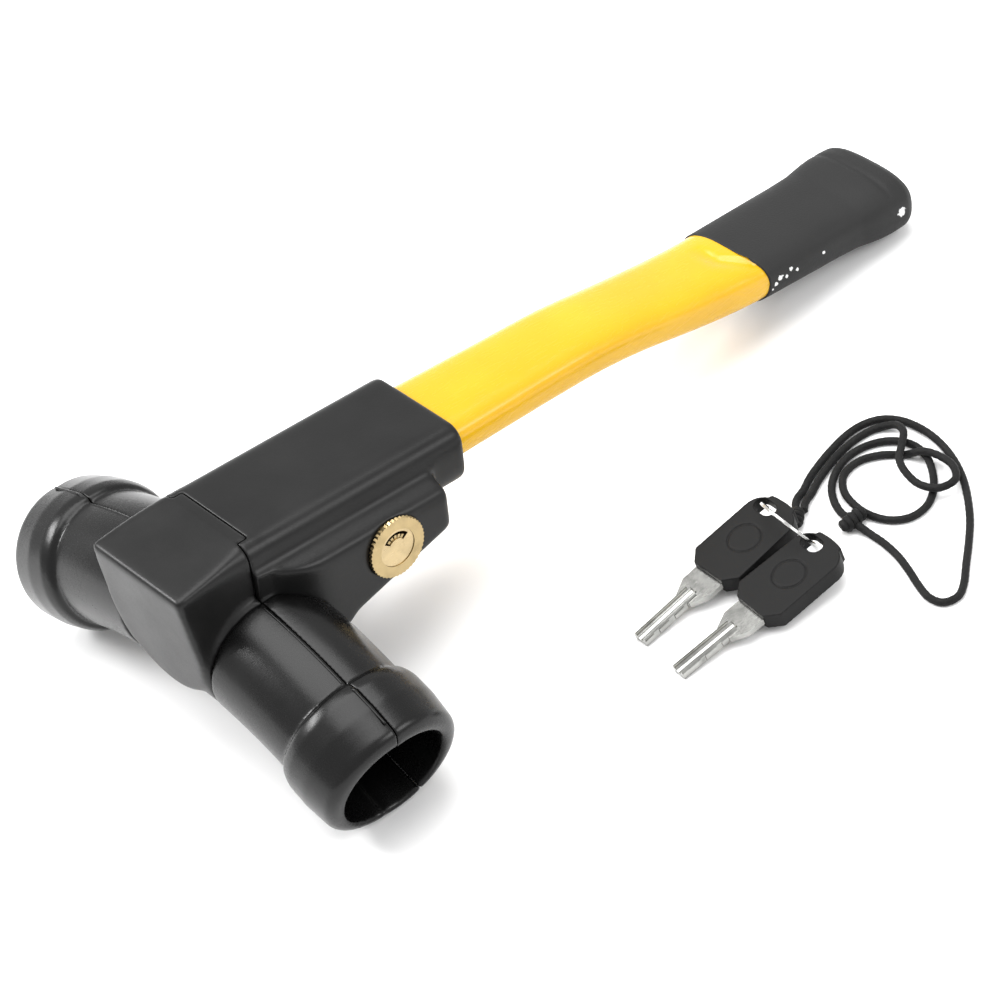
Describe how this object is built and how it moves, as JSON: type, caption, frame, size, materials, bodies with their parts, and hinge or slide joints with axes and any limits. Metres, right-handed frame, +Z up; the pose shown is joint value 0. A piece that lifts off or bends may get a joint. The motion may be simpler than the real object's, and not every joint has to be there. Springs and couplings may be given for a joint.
{
  "type": "steering wheel lock",
  "caption": "T-headed clamp lock: two curved half-tube arms close round a rim, with a key cylinder in the head, a long padded handle and loose keys on a cord.",
  "frame": {"origin": "centre of the round grip that the two rubber pads make on the rim, halfway between the arms", "axes": "+X along the rim at the head, towards the key cylinder's side; +Y level, from the head towards the handle's butt; +Z up from the surface that the lock lies on"},
  "size_m": [0.2585, 0.3341, 0.0814],
  "materials": {
    "black_coat": "satin black powder coat with a fine grain",
    "handle_yellow": "glossy yellow moulding",
    "grip_rubber": "matt dark grey moulded rubber",
    "pad_rubber": "matt black",
    "lock_brass": "turned, bright",
    "bush_bronze": "oiled",
    "steel": "ground",
    "dark_steel": "blackened",
    "key_nickel": "nickel plated with handling scratches",
    "ring_nickel": "bright nickel",
    "key_plastic": "fine spark-eroded texture",
    "cord_black": "braided polyester"
  },
  "bodies": {
    "lock_body": {"body_shell": "black_coat", "rear_arm_left": "black_coat", "rear_arm_right": "black_coat", "rim_pad_rear": "pad_rubber", "rod_bushes": "bush_bronze", "lock_barrel": "lock_brass", "barrel_screw": "dark_steel", "bolt_cap": "dark_steel", "handle_shell": "handle_yellow", "core_bar": "steel", "handle_screws": "dark_steel", "rubber_grip": "grip_rubber"},
    "sliding_jaw": {"jaw_block": "black_coat", "front_arm_left": "black_coat", "front_arm_right": "black_coat", "arm_lip_left": "black_coat", "arm_lip_right": "black_coat", "rim_pad_front": "pad_rubber", "slide_rod_left": "steel", "slide_rod_right": "steel", "rod_pins": "steel", "tie_plate": "steel", "tie_screws": "dark_steel"},
    "key_plug": {"lock_plug": "lock_brass", "lock_wafers": "lock_brass", "plug_cam": "steel"},
    "bolt": {"locking_bolt": "steel", "bolt_spring": "steel"},
    "key_set": {"key_ring": "ring_nickel", "lanyard_strand_a": "cord_black", "lanyard_strand_b": "cord_black", "lanyard_hitch": "cord_black", "lanyard_knot": "cord_black"},
    "key_1": {"key_1_head": "key_plastic", "key_1_blade": "key_nickel"},
    "key_2": {"key_2_head": "key_plastic", "key_2_blade": "key_nickel"}
  },
  "joints": [
    {"name": "jaw_slide", "type": "slide", "parent": "lock_body", "child": "sliding_jaw", "axis": [0, -0.9849, 0.1733], "range_m": [0, 0.038]},
    {"name": "plug_turn", "type": "hinge", "parent": "lock_body", "child": "key_plug", "pos_m": [0.034, 0.05039, 0.00941], "axis": [1, 0, 0], "range_deg": [-90, 0]},
    {"name": "bolt_lift", "type": "slide", "parent": "lock_body", "child": "bolt", "axis": [0, 0.1733, 0.9849], "range_m": [0, 0.00453], "deforming": ["bolt_spring"]},
    {"name": "key_set_lift", "type": "slide", "parent": "lock_body", "child": "key_set", "axis": [0, 0, 1], "range_m": [0, 0.1]},
    {"name": "key_1_swivel", "type": "hinge", "parent": "key_set", "child": "key_1", "pos_m": [0.08848, 0.16017, -0.0326], "axis": [0, 0, 1], "range_deg": [-20, 0]},
    {"name": "key_2_swivel", "type": "hinge", "parent": "key_set", "child": "key_2", "pos_m": [0.11386, 0.15767, -0.0326], "axis": [0, 0, 1], "range_deg": [0, 20]}
  ],
  "couplings": [
    {"joint": "bolt_lift", "follows": "plug_turn", "m_per_rad": -0.0028807}
  ]
}
